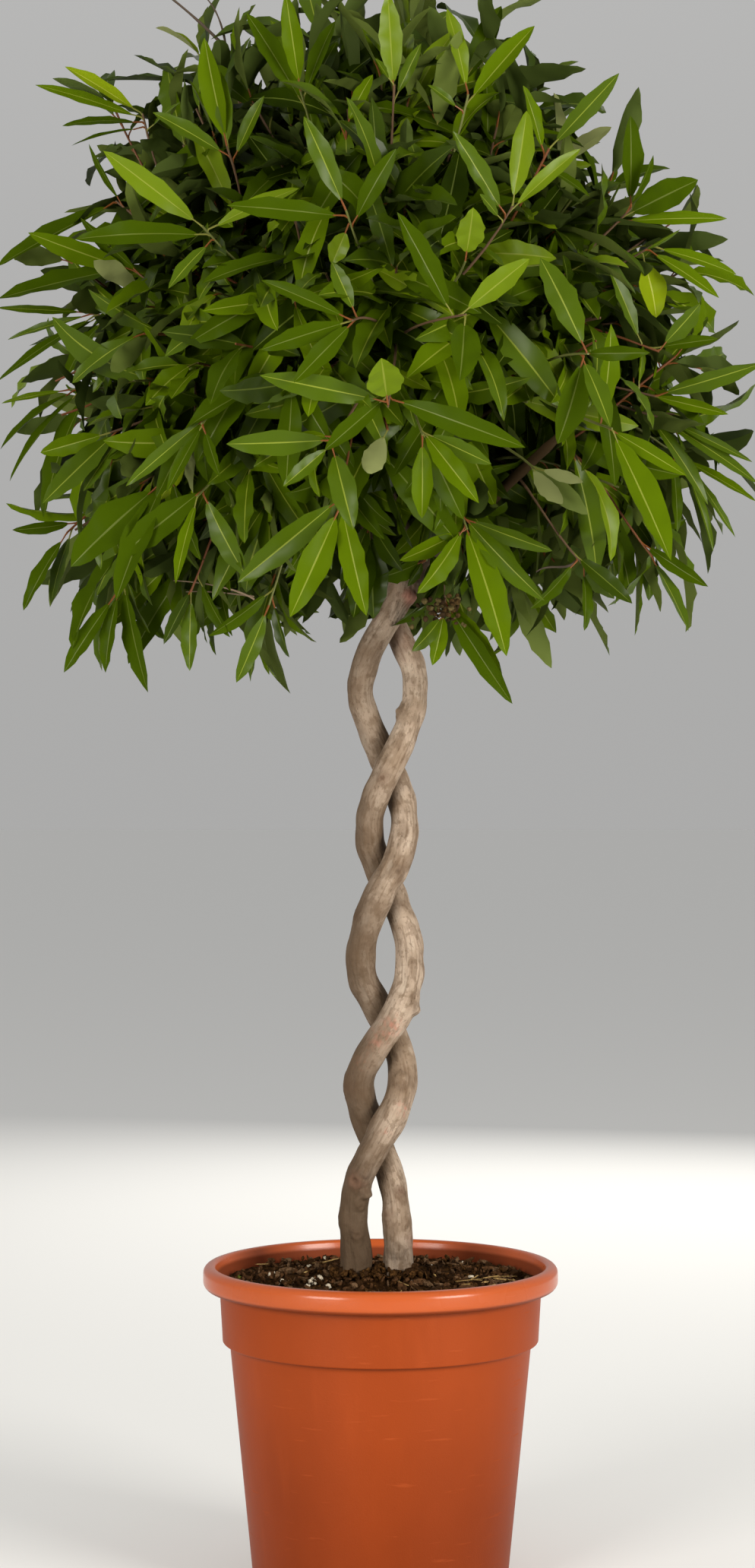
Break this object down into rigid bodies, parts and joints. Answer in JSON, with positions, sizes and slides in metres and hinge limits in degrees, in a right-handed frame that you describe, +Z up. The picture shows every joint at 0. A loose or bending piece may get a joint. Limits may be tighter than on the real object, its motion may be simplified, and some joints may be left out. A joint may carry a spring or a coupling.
{
  "type": "standard bay topiary in a pot",
  "caption": "Evergreen bay grown as a standard: twined stems carry a round leafy head, in a round tapered plastic pot with a rolled rim.",
  "frame": {"origin": "centre of the pot's flat underside, on the surface it stands on", "axes": "+Z up along the plant, -Y towards the front from which the twist is seen, +X to the right of that view"},
  "size_m": [0.5929, 0.5929, 1.2834],
  "materials": {
    "pot_plastic": "moulded polypropylene, terracotta colour, satin with a shinier rolled rim",
    "compost": "moist dark compost with bark chips and perlite",
    "bark": "smooth grey-beige bark with fine cracks and knots",
    "twig_bark": "thin brown to red-brown bark",
    "leaves": "leathery glossy leaves, lime when young and dark green when old, with a pale midrib"
  },
  "bodies": {
    "root": {"pot": "pot_plastic", "soil": "compost", "stem_left": "bark", "stem_right": "bark", "bough_front": "twig_bark", "bough_right": "twig_bark", "bough_back_right": "twig_bark", "bough_leader": "twig_bark", "bough_back_left": "twig_bark", "bough_left": "twig_bark", "foliage_top": "leaves", "foliage_front": "leaves", "foliage_front_left": "leaves", "foliage_back_left": "leaves", "foliage_back": "leaves", "foliage_back_right": "leaves", "foliage_front_right": "leaves", "foliage_hanging_spray": "leaves"}
  },
  "joints": []
}
